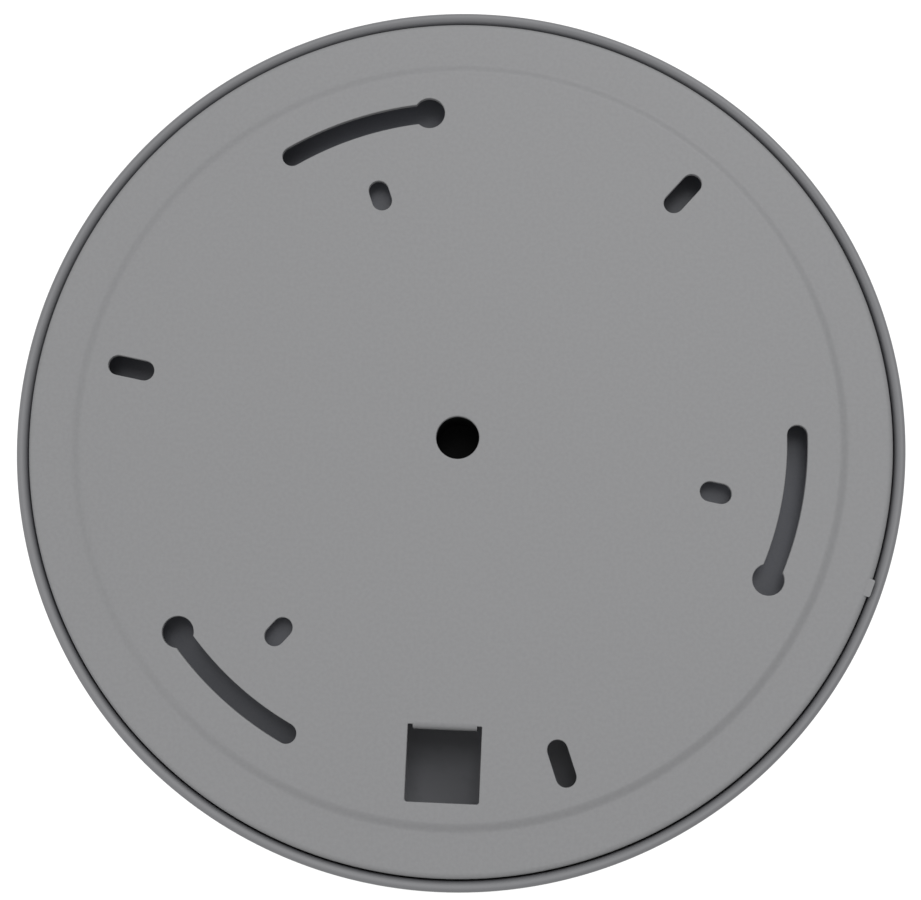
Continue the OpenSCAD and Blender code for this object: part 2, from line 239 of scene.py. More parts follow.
def smooth(obj, degrees=32, weighted=True):
    # smooth shading inside the given angle, sharp edges past it
    bm = bmesh.new()
    bm.from_mesh(obj.data)
    bmesh.ops.dissolve_degenerate(bm, dist=0.0005 * mm, edges=bm.edges)
    limit = math.radians(degrees)
    for face in bm.faces:
        face.smooth = True
    for edge in bm.edges:
        edge.smooth = len(edge.link_faces) == 2 and edge.calc_face_angle(0) < limit
    bm.to_mesh(obj.data)
    bm.free()
    if weighted:
        modifier = obj.modifiers.new("normals", "WEIGHTED_NORMAL")
        modifier.keep_sharp = True
        modifier.weight = 60
        bake(obj)
    return obj


def wear(obj, material):
    obj.data.materials.clear()
    obj.data.materials.append(material)
    return obj


def frameName(name):
    # the frame's form of a name, so that mainBoard gives main_board
    return "".join(c if c.islower() else "_" + c.lower() for c in name.split(".")[0])


def finish(obj, material, body="access_point", degrees=34, weighted=True):
    # the piece moves with its body and stands for the CAD node of its name
    smooth(wear(obj, material), degrees, weighted)
    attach(obj, body)
    frameName(material.name)
    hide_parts(frameName(obj.name))
    print(obj.name, "made:", len(obj.data.polygons), "faces")
    return obj


# a small shorthand for node trees, used by the materials and the geometry nodes
class Wire:
    # wraps one socket, so that trees are written as sums and products
    def __init__(self, tree, socket=None):
        self.tree = tree
        self.socket = socket

    def node(self, kind, settings=None, values=None, out=0):
        made = self.tree.nodes.new(kind)
        for key, value in (settings or {}).items():
            setattr(made, key, value)
        for key, value in (values or {}).items():
            self.feed(made.inputs[key], value)
        return Wire(self.tree, made.outputs[out])

    def feed(self, socket, value):
        if isinstance(value, Wire):
            self.tree.links.new(value.socket, socket)
        elif isinstance(value, tuple) and len(value) == 3 and socket.type == "RGBA":
            socket.default_value = (*value, 1)
        else:
            socket.default_value = value

    def sum(self, operation, a, b):
        return self.node("ShaderNodeMath", {"operation": operation}, {0: a, 1: b})

    def __add__(self, other):
        return self.sum("ADD", self, other)

    __radd__ = __add__

    def __sub__(self, other):
        return self.sum("SUBTRACT", self, other)

    def __rsub__(self, other):
        return self.sum("SUBTRACT", other, self)

    def __mul__(self, other):
        return self.sum("MULTIPLY", self, other)

    __rmul__ = __mul__

    def __truediv__(self, other):
        return self.sum("DIVIDE", self, other)

    def __rtruediv__(self, other):
        return self.sum("DIVIDE", other, self)

    def __pow__(self, other):
        return self.sum("POWER", self, other)

    def sibling(self, name):
        return Wire(self.tree, self.socket.node.outputs[name])


def ramp(wire, low, high, start=0.0, end=1.0):
    # start to end while the wire goes from low to high, and held beyond
    return wire.node("ShaderNodeMapRange", {}, {"Value": wire, "From Min": low, "From Max": high,
                                               "To Min": start, "To Max": end})


def cosineSine(angle):
    return [angle.node("ShaderNodeMath", {"operation": kind}, {0: angle}) for kind in ("COSINE", "SINE")]


def mixed(wire, factor, a, b):
    # colour mix
    made = wire.tree.nodes.new("ShaderNodeMix")
    made.data_type = "RGBA"
    wire.feed(made.inputs[0], factor)
    wire.feed(made.inputs[6], a)
    wire.feed(made.inputs[7], b)
    return Wire(wire.tree, made.outputs[2])


def newMaterial(name, roughness, metallic=0.0, coat=0.0, specular=0.5):
    material = bpy.data.materials.new(name)
    material.use_nodes = True
    tree = material.node_tree
    shader = tree.nodes["Principled BSDF"]
    shader.inputs["Roughness"].default_value = roughness
    shader.inputs["Metallic"].default_value = metallic
    shader.inputs["Coat Weight"].default_value = coat
    shader.inputs["Specular IOR Level"].default_value = specular
    start = Wire(tree)
    where = start.node("ShaderNodeTexCoord", out="Object")
    return material, shader, where


def noise(where, size, detail=2.0, rough=0.5):
    # noise whose features are about size metres across, centred on 0.5
    return where.node("ShaderNodeTexNoise", {}, {"Vector": where, "Scale": 1 / size, "Detail": detail,
                                                "Roughness": rough})


def bumped(where, shader, height, distance):
    made = where.node("ShaderNodeBump", {}, {"Height": height, "Distance": distance, "Strength": 1.0})
    where.feed(shader.inputs["Normal"], made)


paintDefaults = {"fleck": 0.2, "roughDrift": 0.1, "specular": 0.5}


def paintMaterial(name, look):
    # powder coat or moulded plastic: fine grain, slow shade drift and faint flecks
    look = {**paintDefaults, **look}
    material, shader, where = newMaterial(name, look["roughness"], specular=look["specular"])
    drift = noise(where, look["driftSize"], 3)
    grain = noise(where, look["grainSize"], 4, 0.6)
    speck = noise(where, look["grainSize"] * 2.7, 2)
    shade = mixed(where, drift, look["dark"], look["light"])
    fleck = ramp(speck, 0.35, 0.65, end=look["fleck"])
    where.feed(shader.inputs["Base Color"], mixed(where, fleck, shade, look["fleckColour"]))
    rough = drift * look["roughDrift"] + (look["roughness"] - look["roughDrift"] / 2) + (grain - 0.5) * 0.08
    where.feed(shader.inputs["Roughness"], rough)
    bumped(where, shader, grain + speck * 0.6, look["bump"])
    return material


platePaint = paintMaterial("platePaint", {
    "dark": (0.157, 0.158, 0.162), "light": (0.169, 0.17, 0.174), "driftSize": 60 * mm,
    "grainSize": 0.32 * mm, "fleck": 0.25, "fleckColour": (0.2, 0.202, 0.206),
    "roughness": 0.52, "roughDrift": 0.08, "bump": 0.012 * mm})

# dark and light give the inside of the housing a darker tone as painted shade of its hollows; the rim colour is the
# plastic's own tone
housingShades = {
    "dark": (0.078, 0.082, 0.097), "light": (0.09, 0.094, 0.11), "driftSize": 45 * mm,
    "grainSize": 0.22 * mm, "fleck": 0.2, "fleckColour": (0.115, 0.118, 0.13),
    "roughness": 0.48, "roughDrift": 0.1, "bump": 0.014 * mm,
    "blotchSize": 5 * mm, "unshadedRim": (0.128, 0.129, 0.135), "unshadedRimRadius": (97.4 * mm, 98.4 * mm),
    # painted light: the pale colour for the deep floor of the cable bay stands for light falling into the bay
    "paintedBayLight": (0.19, 0.193, 0.207), "paintedBayLightHeight": (-19 * mm, -24 * mm)}


def housingMaterial(look):
    # moulded plastic: the inside darker as painted shade of its hollows, the rim at the plastic's own tone, and the
    # deep floor of the cable bay paler as painted light
    material, shader, where = newMaterial("housingPlastic", look["roughness"])
    split = where.node("ShaderNodeSeparateXYZ", {}, {"Vector": where})
    x, y, z = split, split.sibling("Y"), split.sibling("Z")
    radius = (x * x + y * y) ** 0.5
    drift = noise(where, look["driftSize"], 3)
    grain = noise(where, look["grainSize"], 4, 0.6)
    blotch = noise(where, look["blotchSize"], 4, 0.6)
    # painted shade: the inside keeps the darker tone that stands for the shade in the hollows, and this mask gives the
    # rim back the plastic's own tone
    unshadedRim = ramp(radius, *look["unshadedRimRadius"]) * (0.85 + blotch * 0.3)
    # painted light: the deep floor of the cable bay is made paler, in blotches, as painted light
    paintedBayLight = ramp(z, *look["paintedBayLightHeight"]) * (0.6 + blotch * 0.8)
    shade = mixed(where, drift, look["dark"], look["light"])
    fleck = ramp(noise(where, look["grainSize"] * 2.7), 0.35, 0.65, end=look["fleck"])
    shade = mixed(where, fleck, shade, look["fleckColour"])
    shade = mixed(where, paintedBayLight, mixed(where, unshadedRim, shade, look["unshadedRim"]), look["paintedBayLight"])
    where.feed(shader.inputs["Base Color"], shade)
    rough = drift * look["roughDrift"] + look["roughness"] - unshadedRim * 0.08 + paintedBayLight * 0.2
    where.feed(shader.inputs["Roughness"], rough)
    bumped(where, shader, grain, look["bump"])
    return material


housingPlastic = housingMaterial(housingShades)

coverPlastic = paintMaterial("coverPlastic", {
    "dark": (0.64, 0.64, 0.62), "light": (0.69, 0.69, 0.672), "driftSize": 70 * mm,
    "grainSize": 0.25 * mm, "fleck": 0.15, "fleckColour": (0.6, 0.6, 0.59),
    "roughness": 0.42, "roughDrift": 0.06, "bump": 0.006 * mm})

blackRubber = paintMaterial("blackRubber", {
    "dark": (0.004, 0.004, 0.004), "light": (0.008, 0.008, 0.008), "driftSize": 8 * mm,
    "grainSize": 0.3 * mm, "fleckColour": (0.012, 0.012, 0.012),
    "roughness": 0.85, "bump": 0.02 * mm, "specular": 0.2})

blackPlastic = paintMaterial("blackPlastic", {
    "dark": (0.016, 0.016, 0.017), "light": (0.024, 0.024, 0.025), "driftSize": 9 * mm,
    "grainSize": 0.2 * mm, "fleckColour": (0.035, 0.035, 0.035),
    "roughness": 0.45, "roughDrift": 0.12, "bump": 0.01 * mm})

chipResin = paintMaterial("chipResin", {
    "dark": (0.018, 0.018, 0.02), "light": (0.03, 0.03, 0.032), "driftSize": 6 * mm,
    "grainSize": 0.15 * mm, "fleck": 0.4, "fleckColour": (0.045, 0.045, 0.048),
    "roughness": 0.62, "roughDrift": 0.15, "bump": 0.008 * mm})

gapFiller = paintMaterial("gapFiller", {
    "dark": (0.26, 0.32, 0.46), "light": (0.32, 0.39, 0.53), "driftSize": 5 * mm,
    "grainSize": 0.4 * mm, "fleck": 0.5, "fleckColour": (0.4, 0.46, 0.6),
    "roughness": 0.8, "bump": 0.03 * mm})

transformerCore = paintMaterial("transformerCore", {
    "dark": (0.045, 0.046, 0.05), "light": (0.07, 0.071, 0.076), "driftSize": 5 * mm,
    "grainSize": 0.25 * mm, "fleck": 0.5, "fleckColour": (0.1, 0.1, 0.105),
    "roughness": 0.55, "roughDrift": 0.2, "bump": 0.02 * mm})

ceramic = paintMaterial("ceramic", {
    "dark": (0.62, 0.61, 0.55), "light": (0.72, 0.71, 0.65), "driftSize": 3 * mm,
    "grainSize": 0.15 * mm, "fleck": 0.3, "fleckColour": (0.8, 0.8, 0.75),
    "roughness": 0.7, "bump": 0.006 * mm})

switchPlunger = paintMaterial("switchPlunger", {
    "dark": (0.48, 0.4, 0.27), "light": (0.58, 0.49, 0.34), "driftSize": 2 * mm,
    "grainSize": 0.15 * mm, "fleckColour": (0.62, 0.54, 0.4),
    "roughness": 0.5, "bump": 0.005 * mm})


def metalMaterial(name, look):
    # sheet or turned metal: streaks along one axis, blotches of dull oxide
    material, shader, where = newMaterial(name, look["roughness"], metallic=1.0)
    stretched = where.node("ShaderNodeMapping", {}, {"Vector": where, "Scale": look["streak"]})
    streaks = noise(stretched, look["grainSize"], 5, 0.65)
    dull = noise(where, look["driftSize"], 3)
    where.feed(shader.inputs["Base Color"], mixed(where, dull * 0.6 + streaks * 0.4, look["dark"], look["light"]))
    where.feed(shader.inputs["Roughness"], look["roughness"] + (dull - 0.5) * 0.25 + (streaks - 0.5) * 0.15)
    bumped(where, shader, streaks, look["bump"])
    return material


screwSteel = metalMaterial("screwSteel", {
    "dark": (0.46, 0.46, 0.45), "light": (0.66, 0.66, 0.67), "driftSize": 1.5 * mm,
    "grainSize": 0.3 * mm, "streak": (1, 1, 0.3), "roughness": 0.38, "bump": 0.01 * mm})

heatSinkAluminium = metalMaterial("heatSinkAluminium", {
    "dark": (0.62, 0.62, 0.64), "light": (0.78, 0.78, 0.8), "driftSize": 9 * mm,
    "grainSize": 0.25 * mm, "streak": (0.05, 1, 1), "roughness": 0.42, "bump": 0.02 * mm})

tinnedSteel = metalMaterial("tinnedSteel", {
    "dark": (0.6, 0.6, 0.59), "light": (0.8, 0.8, 0.79), "driftSize": 4 * mm,
    "grainSize": 0.3 * mm, "streak": (1, 0.2, 1), "roughness": 0.3, "bump": 0.008 * mm})

antennaBrass = metalMaterial("antennaBrass", {
    "dark": (0.58, 0.44, 0.2), "light": (0.78, 0.62, 0.32), "driftSize": 5 * mm,
    "grainSize": 0.25 * mm, "streak": (1, 0.15, 1), "roughness": 0.33, "bump": 0.008 * mm})

contactGold = metalMaterial("contactGold", {
    "dark": (0.8, 0.56, 0.2), "light": (0.95, 0.74, 0.36), "driftSize": 2 * mm,
    "grainSize": 0.1 * mm, "streak": (1, 0.2, 1), "roughness": 0.22, "bump": 0.002 * mm})

labelFoil = metalMaterial("labelFoil", {
    "dark": (0.34, 0.34, 0.34), "light": (0.42, 0.42, 0.42), "driftSize": 12 * mm,
    "grainSize": 0.12 * mm, "streak": (0.1, 1, 1), "roughness": 0.5, "bump": 0.003 * mm})


def boardMaterial():
    # green solder mask over a net of copper tracks, with tinned pads
    material, shader, where = newMaterial("boardLaminate", 0.35, coat=0.3)
    cells = where.node("ShaderNodeTexBrick", {"offset": 0.5}, {
        "Vector": where, "Scale": 1 / (9 * mm), "Mortar Size": 0.06, "Mortar Smooth": 0.1,
        "Brick Width": 0.9, "Row Height": 0.31, "Color1": (0.012, 0.085, 0.04), "Color2": (0.016, 0.1, 0.047),
        "Mortar": (0.035, 0.17, 0.07)})
    pads = where.node("ShaderNodeTexVoronoi", {"feature": "F1"}, {"Vector": where, "Scale": 1 / (4.5 * mm),
                                                                 "Randomness": 0.9}, out="Distance")
    dot = ramp(pads, 0.1, 0.13, 1.0, 0.0)
    where.feed(shader.inputs["Base Color"], mixed(where, dot, cells, (0.62, 0.6, 0.52)))
    where.feed(shader.inputs["Metallic"], dot * 0.9)
    where.feed(shader.inputs["Roughness"], 0.36 - dot * 0.08 + (noise(where, 2 * mm) - 0.5) * 0.1)
    bumped(where, shader, dot + cells.sibling("Fac") * 0.5, 0.03 * mm)
    return material


def sleeveMaterial():
    # capacitor can: a dark sleeve with a pale stripe down one side and a bare top
    material, shader, where = newMaterial("capacitorCan", 0.35)
    top = ramp(where.node("ShaderNodeSeparateXYZ", {}, {"Vector": where}, out="Z"), -11.8 * mm, -11.6 * mm)
    sleeve = mixed(where, noise(where, 4 * mm), (0.02, 0.035, 0.08), (0.03, 0.05, 0.11))
    where.feed(shader.inputs["Base Color"], mixed(where, top, sleeve, (0.7, 0.7, 0.71)))
    where.feed(shader.inputs["Metallic"], top)
    where.feed(shader.inputs["Roughness"], 0.32 + noise(where, 1 * mm) * 0.15)
    bumped(where, shader, noise(where, 0.4 * mm), 0.01 * mm)
    return material


def frostedMaterial(name, colour, transmission):
    # frosted clear plastic for the light pipe and the lamp
    material, shader, where = newMaterial(name, 0.3)
    shader.inputs["Transmission Weight"].default_value = transmission
    shader.inputs["IOR"].default_value = 1.49
    cloud = noise(where, 1.2 * mm, 3)
    pale = tuple(min(1.0, c * 1.12) for c in colour)
    where.feed(shader.inputs["Base Color"], mixed(where, cloud, colour, pale))
    where.feed(shader.inputs["Roughness"], 0.22 + cloud * 0.2)
    bumped(where, shader, noise(where, 0.25 * mm), 0.006 * mm)
    return material


boardLaminate = boardMaterial()
capacitorCan = sleeveMaterial()
lightPipeClear = frostedMaterial("lightPipeClear", (0.74, 0.82, 0.86), 0.35)
ledBody = frostedMaterial("ledBody", (0.85, 0.82, 0.6), 0.2)
print("materials made:", len(bpy.data.materials))


# geometry node trees
def newTree(name, inputs):
    # a geometry tree with named float inputs; gives the tree, its input wires and the ids of their sockets
    tree = bpy.data.node_groups.new(name, "GeometryNodeTree")
    tree.interface.new_socket("geometry", in_out="OUTPUT", socket_type="NodeSocketGeometry")
    sockets = {}
    for key in inputs:
        sockets[key] = tree.interface.new_socket(key, in_out="INPUT", socket_type="NodeSocketFloat").identifier
    entry = tree.nodes.new("NodeGroupInput")
    wires = {key: Wire(tree, entry.outputs[i]) for i, key in enumerate(inputs)}
    return tree, wires, sockets


def grow(name, tree, sockets, values, geometry, material):
    # ends the tree, sets its inputs, evaluates it once and keeps a plain mesh
    solid = geometry.node("GeometryNodeRealizeInstances", {}, {"Geometry": geometry})
    solid = solid.node("GeometryNodeSetMaterial", {}, {"Geometry": solid, "Material": material})
    leave = tree.nodes.new("NodeGroupOutput")
    tree.links.new(solid.socket, leave.inputs[0])
    made = newObject(name, bpy.data.meshes.new(name))
    modifier = made.modifiers.new("grow", "NODES")
    modifier.node_group = tree
    for key, value in values.items():
        modifier[sockets[key]] = float(value)
    return bake(made)


def repeat(name, template, count, rule, values, material):
    # copies of a template mesh; rule gives x, y, z and the turn about Z in radians from the index
    tree, wires, sockets = newTree(name + "Tree", values)
    start = Wire(tree)
    index = start.node("GeometryNodeInputIndex")
    x, y, z, turn = rule(index, wires)
    spot = start.node("ShaderNodeCombineXYZ", {}, {"X": x, "Y": y, "Z": z})
    points = start.node("GeometryNodePoints", {}, {"Count": count, "Position": spot})
    shape = start.node("GeometryNodeObjectInfo", {}, {"Object": template}, out="Geometry")
    angle = start.node("ShaderNodeCombineXYZ", {}, {"Z": turn})
    copies = start.node("GeometryNodeInstanceOnPoints", {}, {"Points": points, "Instance": shape, "Rotation": angle})
    made = grow(name, tree, sockets, values, copies, material)
    bpy.data.objects.remove(template)
    return made


# the ceiling plate, rebuilt with the rounding of pressed sheet
plateLow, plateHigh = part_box("mounting_plate")
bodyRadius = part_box("rear_housing")[1].x
mounts = {m["name"]: m for m in frame["record"]["mounts"]}

plateLook = {
    "radius": plateHigh.x,
    "sheet": 1.2 * mm,
    "skirtEnd": plateLow.z,
    "edgeRadius": 1.3 * mm,
    "stepRadius": 86.6 * mm,
    "stepWidth": 2.4 * mm,
    "stepHeight": 0.8 * mm,
    "holeEdge": 0.22 * mm,  # rounding on the punched edges of the ceiling side
    "fixRadius": mounts["keyholes"]["dims"]["pcd_mm"] / 2 * mm,
    "innerRadius": 59.05 * mm,
    "slotWidth": 4.55 * mm,
    "keyholeRadius": mounts["keyholes"]["dims"]["hole_r_mm"] * mm,
    "keyholeStart": 97.4,
    "keyholeSweep": 25.2,
    "outerSlot": (50, 10.7 * mm),
    "innerSlot": (110, 7.1 * mm),
    "centreRadius": mounts["centre_hole"]["dims"]["r_mm"] * mm,
    "lipRadius": 0.3 * mm,
    "margins": (0.4 * mm, 0.5 * mm),  # flat sheet kept beside the edges and beside the step
    "steps": 288,
}
cutLook = {
    "middle": mounts["cable_cutout"]["pos_m"][1],
    "wide": 16.4 * mm,
    "tall": 16 * mm,
    "corner": 0.6 * mm,
    "reliefWidth": 1.1 * mm,
    "reliefHeight": 0.95 * mm,
    "tabEnd": -7 * mm,
    "bend": 1.5 * mm,
    "tip": 0.3 * mm,
    "tieSlot": (6 * mm, 2.4 * mm),
}
lugLook = {
    "starts": (20, 140, 260),
    "lead": 0.5,
    "sweep": 18.2,
    "stop": (16.4, 1.6),
    "stopInset": 0.2 * mm,
    "inner": plateHigh.x - 4.4 * mm,
    "rise": 0.1 * mm,
    "thick": 1.2 * mm,
    "stopTop": -5.4 * mm,
    "ear": {"angle": 342, "size": (2.9 * mm, 4 * mm, 0.45 * mm), "corner": 0.4 * mm, "inset": 0.95 * mm,
            "sunk": 0.05 * mm},
}


def plateSection(look):
    # half section of the pressed sheet, from the centre hole outwards and back underneath
    def step(top):
        found = []
        for i in range(17):
            t = i / 16
            fall = look["stepHeight"] * t * t * (3 - 2 * t)
            found.append((look["stepRadius"] + look["stepWidth"] * (t - 0.5), top - fall))
        return found

    inner, edge, sheet = look["centreRadius"], look["holeEdge"], look["sheet"]
    corner = (look["radius"] - look["edgeRadius"], -look["stepHeight"] - look["edgeRadius"])
    stepIn = look["stepRadius"] - look["stepWidth"] / 2
    stepOut = look["stepRadius"] + look["stepWidth"] / 2
    lipRadius, (small, margin) = look["lipRadius"], look["margins"]
    top = arc((inner + edge, -edge), edge, 180, 90, 4)
    top += [(inner + edge + small, 0), (stepIn - margin, 0)] + step(0)
    top += [(stepOut + margin, -look["stepHeight"]), (corner[0] - small, -look["stepHeight"])]
    top += arc(corner, look["edgeRadius"], 90, 0, 14)
    end = look["skirtEnd"]
    rim = arc((look["radius"] - lipRadius, end + lipRadius), lipRadius, 0, -90, 3)
    rim += arc((look["radius"] - sheet + lipRadius, end + lipRadius), lipRadius, -90, -180, 3)
    under = arc(corner, look["edgeRadius"] - sheet, 0, 90, 8)
    under += [(stepOut + margin, -look["stepHeight"] - sheet)] + step(-sheet)[::-1]
    return top + rim + under + [(inner, -sheet)]


def keyholeOutline(look, grow):
    # the round end at angle 0, the arc beyond it and its narrow end
    big, small, radius = look["keyholeRadius"] + grow, look["slotWidth"] / 2 + grow, look["fixRadius"]
    ends = []
    for side in (1, -1):
        reach = radius + side * small
        cosine = (reach * reach + radius * radius - big * big) / (2 * radius * reach)
        ends.append(math.degrees(math.acos(cosine)))
    tip = polar(radius, look["keyholeSweep"])
    outline = arc((0, 0), radius + small, ends[0], look["keyholeSweep"], 28)
    outline += arc(tip, small, look["keyholeSweep"], look["keyholeSweep"] + 180, 12)[1:-1]
    outline += arc((0, 0), radius - small, look["keyholeSweep"], ends[1], 28)
    angles = []
    for side, end in zip((1, -1), ends):
        x, y = polar(radius + side * small, end)
        angles.append(math.degrees(math.atan2(y, x - radius)))
    outline += arc((radius, 0), big, angles[1], angles[0] + 360, 26)[1:-1]
    return outline


def cutOutline(look, grow):
    # the cable cut-out with the bend reliefs beside its tab; the ceiling side's edge grows with the rounding
    w, h, r = look["wide"] / 2 + grow, look["tall"] / 2 + grow, look["corner"]
    middle = look["middle"]
    top = middle + look["tall"] / 2
    reliefTop = top + look["reliefHeight"] + grow
    inside = look["wide"] / 2 - look["reliefWidth"] - grow
    tip = 0.25 * mm
    corners = arc((-w + r, middle - h + r), r, 180, 270, 5) + arc((w - r, middle - h + r), r, 270, 360, 5)
    relief = arc((w - tip, reliefTop - tip), tip, 0, 90, 3) + [(inside, reliefTop), (inside, top + look["bend"])]
    return corners + relief + [(-x, y) for x, y in relief[::-1]]


def foldedTab(look, sheet):
    # the sheet from the cut-out, bent down along its inner edge
    outer, y = look["bend"], look["middle"] + look["tall"] / 2
    half = look["wide"] / 2 - look["reliefWidth"]
    centre = (y + outer, -outer)
    end, tip = look["tabEnd"], look["tip"]
    side = arc(centre, outer, 90, 180, 8)
    side += [(y, end + tip), (y + tip, end), (y + sheet, end)]
    side += arc(centre, max(outer - sheet, tip), 180, 90, 6)
    tab = loft("tab", [[(x, a, z) for a, z in side] for x in (-half, half)])
    wide, tall = look["tieSlot"]
    slotZ = (end - outer) / 2
    hole = loft("tieSlot", [[(x, d, slotZ + z) for x, z in stadium(wide, tall)] for d in (y - 1 * mm, y + 3 * mm)])
    return combine(tab, [hole], "DIFFERENCE")


def sectorBlock(name, start, sweep, inner, outer, low, high, steps=16):
    outline = arc((0, 0), outer, start, start + sweep, steps) + arc((0, 0), inner, start + sweep, start, steps)
    return prism(name, outline, low, high)


def buildPlate(look, cut, lug):
    plate = lathe("mountingPlate", plateSection(look), look["steps"])
    cutters = []

    def pierce(name, outlineAt):
        cutters.append(punch(name, outlineAt, -look["sheet"] - 1 * mm, 0, look["holeEdge"]))

    for turn in (0, 120, 240):
        pierce("keyhole", lambda grow: turned(keyholeOutline(look, grow), look["keyholeStart"] + turn))
        for radius, (angle, length) in ((look["fixRadius"], look["outerSlot"]),
                                        (look["innerRadius"], look["innerSlot"])):
            pierce("slot", lambda grow: turned(stadium(length + 2 * grow, look["slotWidth"] + 2 * grow),
                                               angle + turn, (radius, 0)))
    pierce("cableCut", lambda grow: cutOutline(cut, grow))
    combine(plate, cutters, "DIFFERENCE")
    added = []
    low, outer, inset = look["skirtEnd"] + lug["rise"], look["radius"] - look["sheet"] / 2, lug["stopInset"]
    for start in lug["starts"]:
        added.append(sectorBlock("lug", start - lug["lead"], lug["lead"] + lug["sweep"], lug["inner"], outer,
                                 low, low + lug["thick"]))
        added.append(sectorBlock("stop", start + lug["stop"][0], lug["stop"][1], lug["inner"] + inset,
                                 outer - inset, low + lug["thick"] / 2, lug["stopTop"], 2))
    ear = lug["ear"]
    long, wide, thick = ear["size"]
    earTop = -look["stepHeight"] - ear["sunk"]
    earPlan = turned(roundedRect(long, wide, ear["corner"]), ear["angle"], (look["radius"] - ear["inset"], 0))
    added.append(prism("ear", earPlan, earTop - thick, earTop))
    return combine(plate, added, "UNION")


plateParts = [buildPlate(plateLook, cutLook, lugLook), foldedTab(cutLook, plateLook["sheet"])]
finish(join("mountingPlate", plateParts), platePaint, "ceiling_bracket")


# the rear housing
housingLook = {
    "rimIn": 98 * mm,
    "radius": bodyRadius,
    "rimTop": -1.6 * mm,
    "rimRound": 1.6 * mm,
    "rimFillet": bodyRadius - 99.6 * mm,
    "wallEnd": -7 * mm,
    "lowRadius": bodyRadius - 0.8 * mm,
    "parting": -15 * mm,
    "wall": 2 * mm,
    "tray": (66 * mm, -5.2 * mm),
    "channel": -9.4 * mm,
    "gutter": -10 * mm,
    "floor": -12 * mm,
    "ring": (90.6 * mm, 92.4 * mm, -4.2 * mm),
    "well": (6.7 * mm, -16 * mm),
    "lugs": ((20, 140, 260), 16, 95.6 * mm, -7.4 * mm, -5.4 * mm),
    "boss": 4.6 * mm,
    "ease": 0.5 * mm,
    "ringEase": 0.3 * mm,
    "vents": {"count": 14, "pitch": 4 * mm, "side": 38 * mm, "first": 10 * mm, "size": (24 * mm, 2.2 * mm)},
    "steps": 288,
}
bayLook = {
    "x": (-18 * mm, 39 * mm),
    "inner": -31 * mm,
    "radius": 86 * mm,
    "floor": -24.8 * mm,
    "window": (8.3 * mm, -24.3 * mm, -10.3 * mm),
    "button": (24 * mm, -19 * mm, 2.35 * mm),
}
screwLook = {
    "ring": 79 * mm,
    "start": 25,
    "step": 90,
    "extra": 30,  # every second screw stands this many degrees further on
    "seat": -12.6 * mm,
    "head": (2.8 * mm, 2 * mm),
    "shank": 1.5 * mm,
    "length": 14 * mm,
    "play": (0.2 * mm, 0.4 * mm),  # around the shank and around the head
}
screwAngles = [screwLook["start"] + screwLook["step"] * i + screwLook["extra"] * (i % 2) for i in range(4)]
boardLook = {
    "top": -24 * mm,
    "thick": 1.6 * mm,
    "screwsAt": ((-56, 26), (56, 26), (-50, -34), (54, -16)),
    "sinkScrewsAt": ((-37, 15), (1, 45)),
    "post": 3.5 * mm,
    "pilot": (1.3 * mm, 9 * mm),
}


def housingSection(look):
    well, ring, wall = look["well"], look["ring"], look["wall"]
    trayRadius, tray = look["tray"]
    ease, small = look["ease"], look["ringEase"]
    top = [(well[0], tray)] + arc((trayRadius - ease, tray - ease), ease, 90, 0, 4)
    top += arc((trayRadius + 0.8 * mm + ease, look["channel"] + ease), ease, 180, 270, 4)
    top += [(ring[0], look["channel"])] + arc((ring[0] + small, ring[2] - small), small, 180, 90, 3)
    top += arc((ring[1] - small, ring[2] - small), small, 90, 0, 3)
    top += [(ring[1], look["gutter"]), (look["rimIn"], look["gutter"])]
    rim = arc((look["rimIn"] + look["rimRound"], look["rimTop"] - look["rimRound"]), look["rimRound"], 180, 90, 10)
    rim += arc((look["radius"] - look["rimFillet"], look["rimTop"] - look["rimFillet"]), look["rimFillet"], 90, 0, 12)
    low = look["lowRadius"]
    side = [(look["radius"], look["wallEnd"]), (low, look["parting"]), (low - wall, look["parting"]),
            (low - wall, look["floor"]), (trayRadius - wall, look["floor"]), (trayRadius - wall, tray - wall),
            (well[0] + 1.5 * mm, tray - wall), (well[0] + 1.5 * mm, well[1] - 1.5 * mm), (0, well[1] - 1.5 * mm),
            (0, well[1]), (well[0], well[1])]
    return top + rim + side


def bayOutline(look, grow):
    radius = look["radius"] + grow
    left, right = look["x"][0] - grow, look["x"][1] + grow
    start = math.degrees(math.asin(left / radius))
    end = math.degrees(math.asin(right / radius))
    inner = look["inner"] + grow
    return [(right, inner), (left, inner)] + arc((0, 0), radius, 270 + start, 270 + end, 24)


def ventCutters(look, low, high):
    # two banks of slots; the index gives the row and the side
    template = prism("ventTemplate", stadium(*look["size"], 6), low, high)

    def rule(index, inputs):
        row = index.node("ShaderNodeMath", {"operation": "FLOOR"}, {0: index / 2})
        side = (index - row * 2) * 2 - 1
        return side * inputs["side"], inputs["first"] + row * inputs["pitch"], 0.0, 0.0

    return repeat("ventCutters", template, look["count"], rule,
                  {key: look[key] for key in ("side", "first", "pitch")}, housingPlastic)


